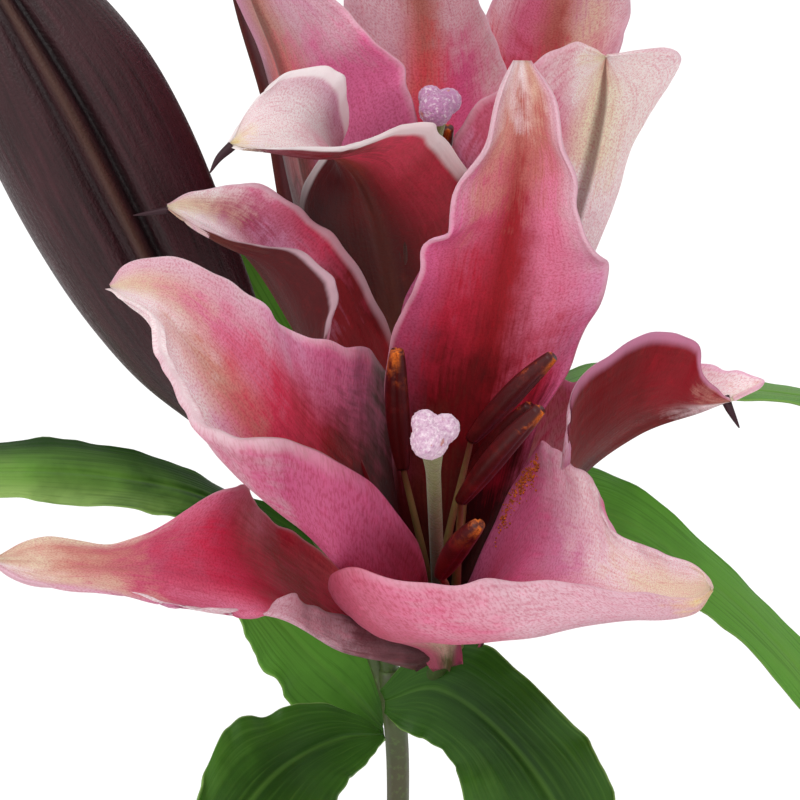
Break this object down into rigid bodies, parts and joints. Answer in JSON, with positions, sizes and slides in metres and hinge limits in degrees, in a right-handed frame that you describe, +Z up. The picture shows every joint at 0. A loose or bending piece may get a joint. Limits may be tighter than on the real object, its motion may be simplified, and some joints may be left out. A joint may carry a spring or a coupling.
{
  "type": "cut lily stem",
  "caption": "Cut lily stem with half-open dark pink flowers, a closed maroon bud and narrow green leaves, cut square at the foot.",
  "frame": {"origin": "centre of the flat cut end of the stem", "axes": "+Z up the stem to the flowers, -Y to the front, where the front flower opens, +X to the right as seen from the front"},
  "size_m": [0.2196, 0.1956, 0.5632],
  "materials": {
    "petal_pink": "velvety pink inner petal with a crimson middle, a cream tip and pale margins",
    "sepal_pink": "velvety pink outer sepal, darker and ribbed outside",
    "leaf_green": "satin green leaf with fine lengthwise veins",
    "stem_green": "satin green stem flushed with mauve",
    "bud_maroon": "satin dark maroon bud with olive ridges",
    "pistil_pale": "green style under a fuzzy lilac-white stigma",
    "filament_olive": "smooth pale olive filament",
    "anther_rust": "dusty maroon pod dusted with orange pollen"
  },
  "bodies": {
    "root": {"back_anther_1": "anther_rust", "back_anther_2": "anther_rust", "back_anther_3": "anther_rust", "back_anther_4": "anther_rust", "back_anther_5": "anther_rust", "back_anther_6": "anther_rust", "back_filament_1": "filament_olive", "back_filament_2": "filament_olive", "back_filament_3": "filament_olive", "back_filament_4": "filament_olive", "back_filament_5": "filament_olive", "back_filament_6": "filament_olive", "back_petal_front": "petal_pink", "back_petal_left": "petal_pink", "back_petal_right": "petal_pink", "back_pistil": "pistil_pale", "back_sepal_left": "sepal_pink", "back_sepal_right": "sepal_pink", "back_sepal_upper": "sepal_pink", "bud": "bud_maroon", "front_anther_1": "anther_rust", "front_anther_2": "anther_rust", "front_anther_3": "anther_rust", "front_anther_4": "anther_rust", "front_anther_5": "anther_rust", "front_anther_6": "anther_rust", "front_filament_1": "filament_olive", "front_filament_2": "filament_olive", "front_filament_3": "filament_olive", "front_filament_4": "filament_olive", "front_filament_5": "filament_olive", "front_filament_6": "filament_olive", "front_petal_left": "petal_pink", "front_petal_right": "petal_pink", "front_petal_upper": "petal_pink", "front_pistil": "pistil_pale", "front_sepal_left": "sepal_pink", "front_sepal_right": "sepal_pink", "front_sepal_upper": "sepal_pink", "leaf_back_left": "leaf_green", "leaf_front_left": "leaf_green", "leaf_front_right": "leaf_green", "leaf_left": "leaf_green", "leaf_left_low": "leaf_green", "leaf_lower_1": "leaf_green", "leaf_lower_2": "leaf_green", "leaf_lower_3": "leaf_green", "leaf_lower_4": "leaf_green", "leaf_lower_5": "leaf_green", "leaf_lower_6": "leaf_green", "leaf_lower_7": "leaf_green", "leaf_right": "leaf_green", "leaf_right_high": "leaf_green", "stem": "stem_green"}
  },
  "joints": []
}
